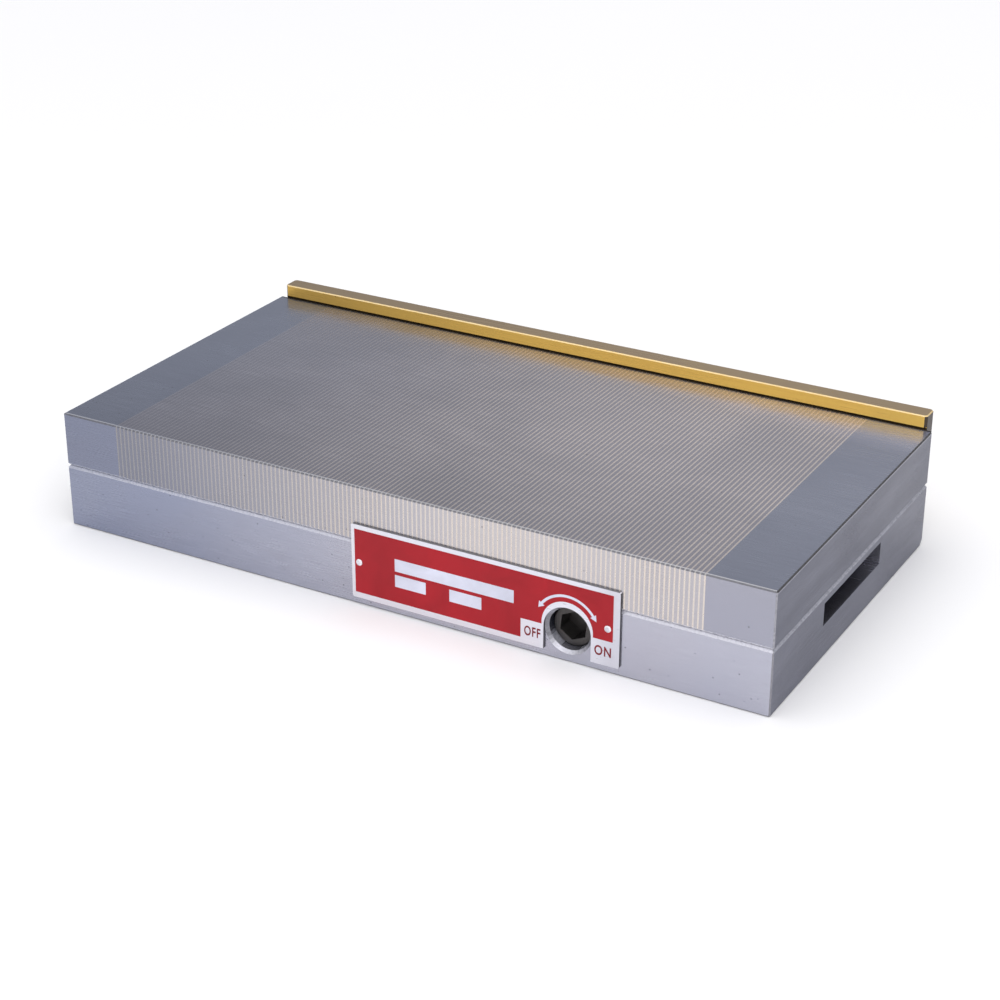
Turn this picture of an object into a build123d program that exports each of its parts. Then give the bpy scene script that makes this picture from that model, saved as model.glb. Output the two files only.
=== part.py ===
from build123d import *
import os
from math import asin, cos, degrees, radians, sin

# Fine-pole permanent magnetic chuck for a surface grinder, switched by a hexagon key.
# Millimetres. The origin is the middle of the housing's underside, +X runs along the
# length, +Y to the rear and +Z up. The chuck is drawn switched off, with the magnet
# carriage at the left end of its stroke.

os.makedirs("parts", exist_ok=True)

# Body
length = 300.0
width = 150.0
base_height = 26.0
plate_height = 22.0
edge_break = 0.5
seam_break_base = 1.2
seam_break_plate = 0.8
rear_foot_break = 3.0

# Laminated pole field of the top plate
steel_strip = 1.25
brass_strip = 0.6
end_block_least = 25.5

# Housing walls and pockets
floor_thickness = 6.0
end_wall = 20.0
front_wall = 18.0
rear_wall = 12.0
ledge_width = 4.0
rear_ledge_width = 3.5
pocket_radius = 4.0

# Clamping slots in the two ends
clamp_slot_width = 55.0
clamp_slot_height = 9.0
clamp_slot_depth = 12.0
clamp_slot_roof = 3.5
clamp_slot_y = -2.0

# Magnet layers
pole_thickness = 3.0
magnet_thickness = 3.0
fixed_layer_height = 8.2
layer_gap = 0.3
carriage_lift = 1.5
carriage_end_gap = 3.0
carriage_end_bar_least = 7.0
carriage_front_bar = 14.0
carriage_rear_bar = 6.5
carriage_rear_gap = 0.8
fixed_front_bar = 5.0
fixed_frame_play = 0.3

# Drive shaft and its bearing
shaft_from_end = 77.0
shaft_diameter = 16.0
shaft_recess = 4.0
running_gap = 0.05
mouth_gap = 0.2
mouth_break = 1.2
socket_across_flats = 10.0
socket_depth = 7.0
socket_turn = -5.4
half_turn = 180.0
bushing_wall = 1.5
seat_gap = 0.1
pin_diameter = 6.0

# Half-turn groove and its dog-point screw
groove_depth = 2.0
groove_width = 3.8
groove_from_end = 3.5
dog_diameter = 3.4
dog_gap = 0.15
screw_m5 = 5.0
limit_screw_sink = 0.8
limit_screw_socket = 2.5

# Shaft seal
seal_width = 1.6
seal_section = 0.9
seal_from_mouth = 1.5
seal_to_bushing = 1.9

# Drive block in the carriage's notch
block_width = 10.0
block_height = 8.0
block_depth = 8.0
shaft_to_block = 5.2
notch_end_gap = 0.3
follow_error = 0.2105

# Guide keys under the carriage
key_width = 4.0
key_sink = 1.5
key_groove = 1.2
key_side_gap = 0.1
key_end_gap = 1.0
key_from_window = 1.0

# Cover seal cord
cord_width = 2.0
cord_depth = 1.5
cord_from_side = 7.0
cord_from_pocket = 4.5
cord_corner = 6.0

# Screws and pins that hold the top plate
screw_m6 = 6.0
head_m6 = 10.0
head_m6_height = 6.0
key_m6 = 5.0
key_m6_depth = 3.0
clearance_m6 = 6.6
thread_gap = 0.15
plate_screw_from_end = 7.5
plate_screw_from_side = 17.0
plate_screw_sink = 6.6
plate_screw_bite = 12.0
head_gap = 0.5
dowel_diameter = 5.0
dowel_half_length = 8.0
dowel_from_side = 29.0

# Nameplate
nameplate_length = 110.0
nameplate_height = 30.0
nameplate_thickness = 1.0
nameplate_bottom = 3.2
nameplate_right_of_shaft = 20.5
nameplate_corner = 0.8
rivet_shank = 2.0
rivet_head = 2.7
rivet_rise = 0.7
rivet_crown = 1.5
rivet_inset_left = 3.3
rivet_inset_right = 4.6
rivet_height = 14.8
rivet_grip = 5.0

# Stop rail along the rear edge
rail_from_end = 2.5
rail_thickness = 8.0
rail_height = 28.0
rail_rise = 5.7
rail_end_break = 1.0
rail_edge_break = 0.4
relief_height = 1.2
relief_depth = 0.9
relief_rise = 0.85
rail_down = 6.0
rail_up = 2.0
rail_slot_play = 0.3
washer_diameter = 12.0
washer_thickness = 1.6
rail_screw_bite = 12.0

# Heights and faces that follow from the sizes above
total_height = base_height + plate_height
front = -width / 2
rear = width / 2
right = length / 2
ledge_height = base_height - fixed_layer_height
carriage_bottom = floor_thickness + carriage_lift
carriage_height = ledge_height - layer_gap - carriage_bottom
shaft_x = right - shaft_from_end
shaft_z = carriage_bottom + carriage_height / 2
pocket_front = front + front_wall
pocket_rear = rear - rear_wall
pocket_right = right - end_wall
well_right = pocket_right - ledge_width
well_rear = pocket_rear - rear_ledge_width

# Pole field: as many pairs of strips as leave both end blocks their least length
strip_pitch = steel_strip + brass_strip
strip_pairs = int((length - 2 * end_block_least - brass_strip) / strip_pitch)
field_length = strip_pairs * strip_pitch + brass_strip
field_left = -field_length / 2
end_block_length = (length - field_length) / 2

# Magnet layers: the stroke is one pole pitch, and at rest both patterns stand half of it to the left
pole_pitch = pole_thickness + magnet_thickness
eccentric = pole_pitch / 2
layer_x = -eccentric
carriage_length = 2 * (well_right - carriage_end_gap - eccentric)
magnet_count = int((carriage_length - 2 * carriage_end_bar_least - pole_thickness) / pole_pitch)
layer_length = magnet_count * pole_pitch + pole_thickness
block_front = pocket_front + shaft_to_block
carriage_front = block_front
carriage_rear = well_rear - carriage_rear_gap
magnet_front = carriage_front + carriage_front_bar
magnet_rear = carriage_rear - carriage_rear_bar
magnet_depth = magnet_rear - magnet_front

# Guide keys, bars of the magnet layers and the fixed frame
magnet_y = (magnet_front + magnet_rear) / 2
key_length = 2 * well_right - 2 * key_end_gap
key_front_y = magnet_front - key_from_window - key_width / 2
key_rear_y = magnet_rear + carriage_rear_bar / 2
key_places = [(0, key_front_y), (0, key_rear_y)]
layer_left = layer_x - layer_length / 2
pole_places = [
    (layer_left + pole_thickness / 2 + index * pole_pitch, magnet_y)
    for index in range(magnet_count + 1)
]
magnet_places = [
    (layer_left + pole_thickness + magnet_thickness / 2 + index * pole_pitch, magnet_y)
    for index in range(magnet_count)
]
fixed_front = magnet_front - fixed_front_bar
fixed_rear = pocket_rear - fixed_frame_play
fixed_right = pocket_right - fixed_frame_play
clamp_slot_z = base_height - clamp_slot_roof - clamp_slot_height / 2

# Shaft stations along Y
shaft_axis = Axis((shaft_x, 0, shaft_z), (0, 1, 0))
shaft_front = front + shaft_recess
shaft_rear = pocket_front - running_gap
mouth_radius = shaft_diameter / 2 + mouth_gap
seal_front = shaft_front + seal_from_mouth
bushing_front = seal_front + seal_width + seal_to_bushing
bushing_radius = shaft_diameter / 2 + running_gap + bushing_wall
seal_groove_radius = mouth_radius - seal_section - 2 * running_gap
pin_x = shaft_x - eccentric
pin_rear = block_front + block_depth
notch_depth = block_depth + notch_end_gap
notch_width = block_width + 2 * (follow_error * eccentric + running_gap)

# Half-turn groove: at rest the screw's dog, at the top of the shaft, is at its first end
groove_y = shaft_rear - groove_from_end
groove_radius = shaft_diameter / 2 - groove_depth
dog_half_angle = asin((dog_diameter / 2 + dog_gap) / groove_radius)
groove_end_angle = radians(90 + half_turn) + dog_half_angle
groove_section = Plane(
    origin=(shaft_x, groove_y, shaft_z),
    x_dir=(cos(groove_end_angle), 0, sin(groove_end_angle)),
    z_dir=(-sin(groove_end_angle), 0, cos(groove_end_angle)),
)
limit_screw_top = base_height - limit_screw_sink
limit_screw_shoulder = shaft_z + bushing_radius + seat_gap + dog_gap
dog_tip = shaft_z + groove_radius + dog_gap

# Nameplate and its rivets
notch_radius = mouth_radius + mouth_break
nameplate_x = shaft_x + nameplate_right_of_shaft - nameplate_length / 2
nameplate_z = nameplate_bottom + nameplate_height / 2
rivet_places = [
    (nameplate_x - nameplate_length / 2 + rivet_inset_left, nameplate_bottom + rivet_height),
    (nameplate_x + nameplate_length / 2 - rivet_inset_right, nameplate_bottom + rivet_height),
]

# Rail stations
rail_length = length - 2 * rail_from_end
rail_top = total_height + rail_rise
rail_bottom = rail_top - rail_height
end_block_x = (length - end_block_length) / 2
rail_screw_z = base_height + plate_height / 2
rail_back = rear + rail_thickness
rail_screw_places = (-end_block_x, end_block_x)
rail_slot_length = clearance_m6 + rail_down + rail_up + 2 * rail_slot_play
rail_slot_z = rail_screw_z + (rail_down - rail_up) / 2


def screw_places(side):
    """Places of the plate screws at the end on side -1 or +1, seen from above."""
    x = side * (right - plate_screw_from_end)
    return [(x, front + plate_screw_from_side), (x, rear - plate_screw_from_side)]


def dowel_place(side):
    """Place of the locating pin at the end on side -1 or +1; the two stand diagonally."""
    return (side * (right - plate_screw_from_end), side * (rear - dowel_from_side))


def facing_front(y, x=0.0, z=0.0):
    """A plane at depth y that is looked at from the front: local x is +X, local y is +Z."""
    return Plane(origin=(x, y, z), x_dir=(1, 0, 0), z_dir=(0, -1, 0))


def facing_rear(y, x=0.0, z=0.0):
    """A plane at depth y whose normal points to the rear: local x is +X, local y is -Z."""
    return Plane(origin=(x, y, z), x_dir=(1, 0, 0), z_dir=(0, 1, 0))


def from_side(x):
    """A plane across the length at x: local x is +Y, local y is +Z."""
    return Plane(origin=(x, 0, 0), x_dir=(0, 1, 0), z_dir=(1, 0, 0))


def write(part, name):
    """Label a finished piece and write its STEP file."""
    part.label = name
    export_step(part, f"parts/{name}.step")


# Outline of the top plate across its length; only the edges at the front are broken
with BuildSketch() as plate_profile:
    with BuildLine():
        Polyline(
            (front + seam_break_plate, base_height),
            (rear, base_height),
            (rear, total_height),
            (front + edge_break, total_height),
            (front, total_height - edge_break),
            (front, base_height + seam_break_plate),
            close=True,
        )
    make_face()

# Laminations of the pole field, brass against both end blocks
brass_places = [field_left + index * strip_pitch for index in range(strip_pairs + 1)]
steel_places = [place + brass_strip for place in brass_places[:-1]]

with BuildPart() as steel_strips:
    with BuildSketch(*[from_side(place) for place in steel_places]):
        add(plate_profile.sketch_local)
    extrude(amount=steel_strip)

with BuildPart() as brass_strips:
    with BuildSketch(*[from_side(place) for place in brass_places]):
        add(plate_profile.sketch_local)
    extrude(amount=brass_strip)

write(steel_strips.part, "steel_strips")
write(brass_strips.part, "brass_strips")


def end_block(side):
    """Solid steel end of the top plate on side -1 (left) or +1 (right), with its holes."""
    outer = -1 if side > 0 else 0
    with BuildPart() as block:
        with BuildSketch(from_side(side * (right - end_block_length))):
            add(plate_profile.sketch_local)
        extrude(amount=side * end_block_length)
        chamfer(block.faces().sort_by(Axis.X)[outer].edges().group_by(Axis.Z)[0], seam_break_plate)
        chamfer(block.faces().sort_by(Axis.X)[outer].edges().group_by(Axis.Z)[-1], edge_break)
        chamfer(block.faces().sort_by(Axis.X)[outer].edges().filter_by(Axis.Z), edge_break)
        with BuildSketch(Plane.XY.offset(base_height)):
            with Locations(*screw_places(side)):
                Circle(screw_m6 / 2 + thread_gap)
        extrude(amount=plate_screw_bite + head_gap, mode=Mode.SUBTRACT)
        with BuildSketch(Plane.XY.offset(base_height)):
            with Locations(dowel_place(side)):
                Circle(dowel_diameter / 2 + seat_gap)
        extrude(amount=dowel_half_length + head_gap, mode=Mode.SUBTRACT)
        with BuildSketch(facing_front(rear, side * end_block_x, rail_screw_z)):
            Circle(screw_m6 / 2 + thread_gap)
        extrude(amount=rail_screw_bite + head_gap, mode=Mode.SUBTRACT)
    return block.part


write(end_block(-1), "left_end_block")
write(end_block(1), "right_end_block")


def cord_loop(half_gap):
    """Ring of the cover seal or of its groove, widened by half_gap on both sides."""
    long_side = 2 * (pocket_right + cord_from_pocket)
    short_side = width - 2 * cord_from_side
    reach = cord_width + 2 * half_gap
    with BuildSketch(Plane.XY.offset(base_height)) as loop:
        RectangleRounded(long_side + reach, short_side + reach, cord_corner + reach / 2)
        RectangleRounded(
            long_side - reach, short_side - reach, cord_corner - reach / 2, mode=Mode.SUBTRACT
        )
    return loop.sketch


cord_groove = cord_loop(running_gap)
cord_ring = cord_loop(0)

# Lower housing: an open steel box that holds the magnets and the switching gear
with BuildPart() as base_housing:
    with BuildSketch():
        Rectangle(length, width)
    extrude(amount=base_height)
    chamfer(base_housing.faces().sort_by(Axis.Z)[-1].edges(), seam_break_base)
    underside = base_housing.faces().sort_by(Axis.Z)[0].edges()
    chamfer(underside.sort_by(Axis.Y)[-1], rear_foot_break)
    underside = base_housing.faces().sort_by(Axis.Z)[0].edges()
    chamfer(underside.sort_by(Axis.Y)[:-1], edge_break)
    uprights = base_housing.edges().filter_by(Axis.Z)
    chamfer(uprights, edge_break)

    # Upper pocket for the fixed magnet layer, and the deeper well of the carriage
    with BuildSketch(Plane.XY.offset(base_height)):
        with Locations((0, (pocket_front + pocket_rear) / 2)):
            RectangleRounded(2 * pocket_right, pocket_rear - pocket_front, pocket_radius)
    extrude(amount=ledge_height - base_height, mode=Mode.SUBTRACT)
    with BuildSketch(Plane.XY.offset(ledge_height)):
        with Locations((0, (pocket_front + well_rear) / 2)):
            RectangleRounded(2 * well_right, well_rear - pocket_front, pocket_radius)
    extrude(amount=floor_thickness - ledge_height, mode=Mode.SUBTRACT)

    # Grooves in the well's floor that hold the guide keys
    with BuildSketch(Plane.XY.offset(floor_thickness)):
        with Locations(*key_places):
            Rectangle(key_length, key_width)
    extrude(amount=-key_sink, mode=Mode.SUBTRACT)

    # Clamping slot in each end
    for side in (-1, 1):
        with BuildSketch(from_side(side * right)):
            with Locations((clamp_slot_y, clamp_slot_z)):
                Rectangle(clamp_slot_width, clamp_slot_height)
        extrude(amount=-side * clamp_slot_depth, mode=Mode.SUBTRACT)

    # Stepped bore of the drive shaft: broken mouth, plain part, bushing seat
    with BuildSketch(Plane(origin=(shaft_x, 0, shaft_z), x_dir=(0, 1, 0), z_dir=(1, 0, 0))):
        with BuildLine():
            Polyline(
                (front, 0),
                (front, mouth_radius + mouth_break),
                (front + mouth_break, mouth_radius),
                (bushing_front, mouth_radius),
                (bushing_front, bushing_radius + seat_gap),
                (pocket_front, bushing_radius + seat_gap),
                (pocket_front, 0),
                close=True,
            )
        make_face()
    revolve(axis=shaft_axis, mode=Mode.SUBTRACT)

    # Tapped hole for the limit screw, from the rim into the bore
    with BuildSketch(Plane.XY.offset(base_height)):
        with Locations((shaft_x, groove_y)):
            Circle(screw_m5 / 2 + thread_gap)
    extrude(amount=shaft_z - base_height, mode=Mode.SUBTRACT)

    # Counterbored holes from below, reamed holes and the cord groove in the rim
    for side in (-1, 1):
        with Locations(*[Plane(origin=(x, y, 0), z_dir=(0, 0, -1)) for x, y in screw_places(side)]):
            CounterBoreHole(
                clearance_m6 / 2, head_m6 / 2 + head_gap, plate_screw_sink, base_height
            )
        with BuildSketch(Plane.XY.offset(base_height)):
            with Locations(dowel_place(side)):
                Circle(dowel_diameter / 2 + seat_gap)
        extrude(amount=-dowel_half_length - head_gap, mode=Mode.SUBTRACT)
    extrude(cord_groove, amount=-cord_depth, mode=Mode.SUBTRACT)

    # Rivet holes behind the nameplate
    with BuildSketch(facing_front(front)):
        with Locations(*rivet_places):
            Circle(rivet_shank / 2 + seat_gap)
    extrude(amount=-rivet_grip - seat_gap, mode=Mode.SUBTRACT)

with BuildPart() as cover_seal:
    extrude(cord_ring, amount=-cord_depth)

write(base_housing.part, "base_housing")
write(cover_seal.part, "cover_seal")

# Upper magnet layer: an aluminium frame that rests on the ledges, with its bars
with BuildPart() as fixed_frame:
    with BuildSketch(Plane.XY.offset(ledge_height)):
        with Locations((0, (fixed_front + fixed_rear) / 2)):
            Rectangle(2 * fixed_right, fixed_rear - fixed_front)
    extrude(amount=base_height - ledge_height)
    fillet(
        fixed_frame.edges().filter_by(Axis.Z).group_by(Axis.Y)[-1],
        pocket_radius,
    )
    with BuildSketch(Plane.XY.offset(ledge_height)):
        with Locations((layer_x, magnet_y)):
            Rectangle(layer_length, magnet_depth)
    extrude(amount=base_height - ledge_height, mode=Mode.SUBTRACT)

with BuildPart() as fixed_pole_bars:
    with BuildSketch(Plane.XY.offset(ledge_height)):
        with Locations(*pole_places):
            Rectangle(pole_thickness, magnet_depth)
    extrude(amount=base_height - ledge_height)

with BuildPart() as fixed_magnets:
    with BuildSketch(Plane.XY.offset(ledge_height)):
        with Locations(*magnet_places):
            Rectangle(magnet_thickness, magnet_depth)
    extrude(amount=base_height - ledge_height)

write(fixed_frame.part, "fixed_frame")
write(fixed_pole_bars.part, "fixed_pole_bars")
write(fixed_magnets.part, "fixed_magnets")

# Sliding magnet carriage, keyed to its guides and notched for the drive block
with BuildPart() as carriage_frame:
    with BuildSketch(Plane.XY.offset(carriage_bottom)):
        with Locations((layer_x, (carriage_front + carriage_rear) / 2)):
            RectangleRounded(carriage_length, carriage_rear - carriage_front, pocket_radius)
    extrude(amount=carriage_height)
    with BuildSketch(Plane.XY.offset(carriage_bottom)):
        with Locations((layer_x, magnet_y)):
            Rectangle(layer_length, magnet_depth)
        with Locations((pin_x, carriage_front + notch_depth / 2)):
            Rectangle(notch_width, notch_depth)
    extrude(amount=carriage_height, mode=Mode.SUBTRACT)
    with BuildSketch(Plane.XY.offset(carriage_bottom)):
        with Locations(*key_places):
            Rectangle(length, key_width + 2 * key_side_gap)
    extrude(amount=key_groove, mode=Mode.SUBTRACT)

with BuildPart() as carriage_pole_bars:
    with BuildSketch(Plane.XY.offset(carriage_bottom)):
        with Locations(*pole_places):
            Rectangle(pole_thickness, magnet_depth)
    extrude(amount=carriage_height)

with BuildPart() as carriage_magnets:
    with BuildSketch(Plane.XY.offset(carriage_bottom)):
        with Locations(*magnet_places):
            Rectangle(magnet_thickness, magnet_depth)
    extrude(amount=carriage_height)

with BuildPart() as guide_keys:
    with BuildSketch(Plane.XY.offset(floor_thickness - key_sink)):
        with Locations(*key_places):
            Rectangle(key_length, key_width)
    extrude(amount=key_sink + carriage_lift + key_groove)

write(carriage_frame.part, "carriage_frame")
write(carriage_pole_bars.part, "carriage_pole_bars")
write(carriage_magnets.part, "carriage_magnets")
write(guide_keys.part, "guide_keys")

# Drive shaft: hexagon socket, seal groove, half-turn groove and eccentric pin
with BuildPart() as drive_shaft:
    with BuildSketch(facing_front(shaft_front, shaft_x, shaft_z)):
        Circle(shaft_diameter / 2)
    extrude(amount=shaft_front - shaft_rear)
    chamfer(drive_shaft.faces().sort_by(Axis.Y)[0].edges(), edge_break)
    with BuildSketch(facing_front(shaft_front, shaft_x, shaft_z)):
        RegularPolygon(socket_across_flats / 2, 6, major_radius=False, rotation=90 + socket_turn)
    extrude(amount=-socket_depth, mode=Mode.SUBTRACT)
    with BuildSketch(facing_front(seal_front - running_gap, shaft_x, shaft_z)):
        Circle(shaft_diameter / 2)
        Circle(seal_groove_radius, mode=Mode.SUBTRACT)
    extrude(amount=-seal_width - 2 * running_gap, mode=Mode.SUBTRACT)
    with BuildSketch(groove_section):
        with Locations((groove_radius, 0)):
            Rectangle(2 * groove_depth, groove_width, align=(Align.MIN, Align.CENTER))
    revolve(
        axis=shaft_axis,
        revolution_arc=half_turn + 2 * degrees(dog_half_angle),
        mode=Mode.SUBTRACT,
    )
    with BuildSketch(facing_front(shaft_rear, pin_x, shaft_z)):
        Circle(pin_diameter / 2)
    extrude(amount=shaft_rear - pin_rear)

with BuildPart() as drive_block:
    with BuildSketch(facing_front(block_front, pin_x, shaft_z)):
        Rectangle(block_width, block_height)
        Circle(pin_diameter / 2 + running_gap, mode=Mode.SUBTRACT)
    extrude(amount=-block_depth)

with BuildPart() as shaft_bushing:
    with BuildSketch(facing_front(bushing_front, shaft_x, shaft_z)):
        Circle(bushing_radius)
        Circle(shaft_diameter / 2 + running_gap, mode=Mode.SUBTRACT)
    extrude(amount=bushing_front - pocket_front)
    with BuildSketch(Plane(origin=(shaft_x, groove_y, shaft_z))):
        Circle(dog_diameter / 2 + dog_gap)
    extrude(amount=shaft_diameter, mode=Mode.SUBTRACT)

with BuildPart() as shaft_seal:
    with BuildSketch(facing_front(seal_front, shaft_x, shaft_z)):
        Circle(mouth_radius - running_gap)
        Circle(seal_groove_radius + running_gap, mode=Mode.SUBTRACT)
    extrude(amount=-seal_width)

with BuildPart() as limit_screw:
    with BuildSketch(Plane(origin=(shaft_x, groove_y, limit_screw_top))):
        Circle(screw_m5 / 2)
    extrude(amount=limit_screw_shoulder - limit_screw_top)
    with BuildSketch(Plane(origin=(shaft_x, groove_y, limit_screw_shoulder))):
        Circle(dog_diameter / 2)
    extrude(amount=dog_tip - limit_screw_shoulder)
    with BuildSketch(Plane(origin=(shaft_x, groove_y, limit_screw_top))):
        RegularPolygon(limit_screw_socket / 2, 6, major_radius=False)
    extrude(amount=(limit_screw_shoulder - limit_screw_top) / 2, mode=Mode.SUBTRACT)

write(drive_shaft.part, "drive_shaft")
write(drive_block.part, "drive_block")
write(shaft_bushing.part, "shaft_bushing")
write(shaft_seal.part, "shaft_seal")
write(limit_screw.part, "limit_screw")

# Cap screws from below and dowels between the housing and the end blocks
all_screws = [place for side in (-1, 1) for place in screw_places(side)]
all_dowels = [dowel_place(side) for side in (-1, 1)]
with BuildPart() as plate_screws:
    with BuildSketch(Plane.XY.offset(plate_screw_sink)):
        with Locations(*all_screws):
            Circle(head_m6 / 2)
    extrude(amount=-head_m6_height)
    with BuildSketch(Plane.XY.offset(plate_screw_sink - head_m6_height)):
        with Locations(*all_screws):
            RegularPolygon(key_m6 / 2, 6, major_radius=False)
    extrude(amount=key_m6_depth, mode=Mode.SUBTRACT)
    with BuildSketch(Plane.XY.offset(plate_screw_sink)):
        with Locations(*all_screws):
            Circle(screw_m6 / 2)
    extrude(amount=base_height + plate_screw_bite - plate_screw_sink)

with BuildPart() as locating_pins:
    with BuildSketch(Plane.XY.offset(base_height)):
        with Locations(*all_dowels):
            Circle(dowel_diameter / 2)
    extrude(amount=dowel_half_length, both=True)

write(plate_screws.part, "plate_screws")
write(locating_pins.part, "locating_pins")

# Nameplate with a notch round the bore that is open below
with BuildPart() as nameplate:
    with BuildSketch(facing_front(front)):
        with Locations((nameplate_x, nameplate_z)):
            RectangleRounded(nameplate_length, nameplate_height, nameplate_corner)
        with Locations((shaft_x, shaft_z)):
            Circle(notch_radius, mode=Mode.SUBTRACT)
            Rectangle(
                2 * notch_radius,
                nameplate_height,
                align=(Align.CENTER, Align.MAX),
                mode=Mode.SUBTRACT,
            )
        with Locations(*rivet_places):
            Circle(rivet_shank / 2 + seat_gap, mode=Mode.SUBTRACT)
    extrude(amount=nameplate_thickness)

with BuildPart() as nameplate_rivets:
    for place_x, place_z in rivet_places:
        with BuildSketch(Plane(origin=(place_x, front, place_z))):
            with BuildLine():
                Polyline(
                    (0, rivet_grip),
                    (rivet_shank / 2, rivet_grip),
                    (rivet_shank / 2, -nameplate_thickness),
                    (rivet_head / 2, -nameplate_thickness),
                    (rivet_crown / 2, -nameplate_thickness - rivet_rise),
                    (0, -nameplate_thickness - rivet_rise),
                    close=True,
                )
            make_face()
        revolve(axis=Axis((place_x, front, place_z), (0, 1, 0)))

write(nameplate.part, "nameplate")
write(nameplate_rivets.part, "nameplate_rivets")

# Stop rail: a bar with a relief at table level and upright slots for its screws
with BuildPart() as stop_rail:
    with BuildSketch(Plane.XY.offset(rail_bottom)):
        with Locations((0, rear + rail_thickness / 2)):
            Rectangle(rail_length, rail_thickness)
    extrude(amount=rail_height)
    chamfer(stop_rail.edges().filter_by(Axis.Z), rail_end_break)
    chamfer(stop_rail.faces().sort_by(Axis.Z)[-1].edges(), rail_edge_break)
    chamfer(stop_rail.faces().sort_by(Axis.Z)[0].edges(), rail_edge_break)
    with BuildSketch(from_side(-rail_length / 2)):
        with Locations((rear, total_height + relief_rise)):
            Rectangle(relief_depth, relief_height, align=(Align.MIN, Align.MAX))
    extrude(amount=rail_length, mode=Mode.SUBTRACT)
    with BuildSketch(facing_rear(rear)):
        with Locations(*[(x, -rail_slot_z) for x in rail_screw_places]):
            SlotOverall(rail_slot_length, clearance_m6, rotation=90)
    extrude(amount=rail_thickness, mode=Mode.SUBTRACT)

with BuildPart() as rail_washers:
    with BuildSketch(facing_rear(rail_back)):
        with Locations(*[(x, -rail_screw_z) for x in rail_screw_places]):
            Circle(washer_diameter / 2)
            Circle(clearance_m6 / 2, mode=Mode.SUBTRACT)
    extrude(amount=washer_thickness)

with BuildPart() as rail_screws:
    with BuildSketch(facing_rear(rail_back + washer_thickness)):
        with Locations(*[(x, -rail_screw_z) for x in rail_screw_places]):
            Circle(head_m6 / 2)
    extrude(amount=head_m6_height)
    chamfer(rail_screws.edges().group_by(Axis.Y)[-1], edge_break)
    with BuildSketch(facing_rear(rail_back + washer_thickness + head_m6_height)):
        with Locations(*[(x, -rail_screw_z) for x in rail_screw_places]):
            RegularPolygon(key_m6 / 2, 6, major_radius=False)
    extrude(amount=-key_m6_depth, mode=Mode.SUBTRACT)
    with BuildSketch(facing_rear(rail_back + washer_thickness)):
        with Locations(*[(x, -rail_screw_z) for x in rail_screw_places]):
            Circle(screw_m6 / 2)
    extrude(amount=-washer_thickness - rail_thickness - rail_screw_bite)

write(stop_rail.part, "stop_rail")
write(rail_washers.part, "rail_washers")
write(rail_screws.part, "rail_screws")
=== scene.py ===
from collections import namedtuple
from math import atan2, cos, pi, radians, sin

import bpy
from mathutils import Euler, Matrix, Vector


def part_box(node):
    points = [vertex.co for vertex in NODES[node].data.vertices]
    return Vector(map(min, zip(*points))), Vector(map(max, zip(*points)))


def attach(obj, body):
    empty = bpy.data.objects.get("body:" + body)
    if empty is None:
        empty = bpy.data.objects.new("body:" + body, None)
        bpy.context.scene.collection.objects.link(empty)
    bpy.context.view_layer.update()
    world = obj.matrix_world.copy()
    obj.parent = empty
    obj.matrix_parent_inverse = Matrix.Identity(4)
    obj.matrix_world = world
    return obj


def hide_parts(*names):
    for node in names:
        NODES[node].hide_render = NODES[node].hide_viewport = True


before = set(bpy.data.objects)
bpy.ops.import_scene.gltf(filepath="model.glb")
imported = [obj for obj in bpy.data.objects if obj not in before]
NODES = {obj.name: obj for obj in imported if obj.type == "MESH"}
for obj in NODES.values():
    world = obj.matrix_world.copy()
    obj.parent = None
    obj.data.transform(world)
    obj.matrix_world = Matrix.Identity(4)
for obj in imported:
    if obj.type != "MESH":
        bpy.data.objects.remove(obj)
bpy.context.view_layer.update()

bl_info = {
    "name": "Magnetic chuck finish",
    "version": (1, 0, 0),
    "blender": (4, 5, 0),
    "location": "3D View > Sidebar > Chuck",
    "description": "Dresses the packed magnetic chuck with ground steel, brass and enamel finishes",
    "category": "Object",
}

MM = 0.001

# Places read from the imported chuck, in metres
PLATE_LOW, PLATE_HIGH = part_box("nameplate")
SHAFT_LOW, SHAFT_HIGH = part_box("drive_shaft")
RIVET_LOW, RIVET_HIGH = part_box("nameplate_rivets")
TABLE_LOW, TABLE_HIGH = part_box("steel_strips")

# Directions that faces and broken edges look, and that tones fade along
UP = (0.0, 0.0, 1.0)
DOWN = (0.0, 0.0, -1.0)
FRONT = (0.0, -1.0, 0.0)
BACK = (0.0, 1.0, 0.0)
LEFT = (-1.0, 0.0, 0.0)
RIGHT = (1.0, 0.0, 0.0)
SLANT = 0.7071
REAR_LEFT = (-SLANT, SLANT, 0.0)
BACK_AND_RIGHT = (0.1, 0.995, 0.0)

# Tones that more than one finish uses
# Bluish painted shade that darkens the faces towards the left end
LEFT_SHADE_TINT = (0.59, 0.64, 0.74)
# Near-black painted shade where the table meets the rail, on dark broken edges and under the rail
PAINTED_SHADE = (0.012, 0.011, 0.012)
# Painted highlight on the broken edges of the end blocks and steel strips
EDGE_HIGHLIGHT = (0.80, 0.80, 0.86)
# Painted shade on the front broken edge of the work face
CHAMFER_SHADE = (0.07, 0.07, 0.085)
MILLED_DARK = (0.36, 0.38, 0.48)
MILLED_LIGHT = (0.94, 0.97, 1.0)
# Painted shade inside the clamping slots
SLOT_SHADE = (0.20, 0.20, 0.235)

# How often machining marks repeat along X, Y and Z, in each metre
LENGTHWISE = (70.0, 2600.0, 2600.0)
CROSSWISE = (2400.0, 90.0, 2400.0)
END_CUTS = (2200.0, 60.0, 1500.0)
RAIL_GRAIN = (45.0, 1500.0, 1500.0)
PLATE_GRAIN = (120.0, 3000.0, 3000.0)
FRAME_GRAIN = (500.0, 900.0, 900.0)
TURNED_RINGS = (300.0, 5200.0, 300.0)

# Reach of the tones that fade to the left end, softness of a fine line, and a far place
LEFT_REACH = 110.0 * MM
FINE = 0.12 * MM
FAR = 1.0

# Spacing of the nodes in the shader editor
NODE_COLUMN, NODE_ROW = 220, 260

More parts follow.
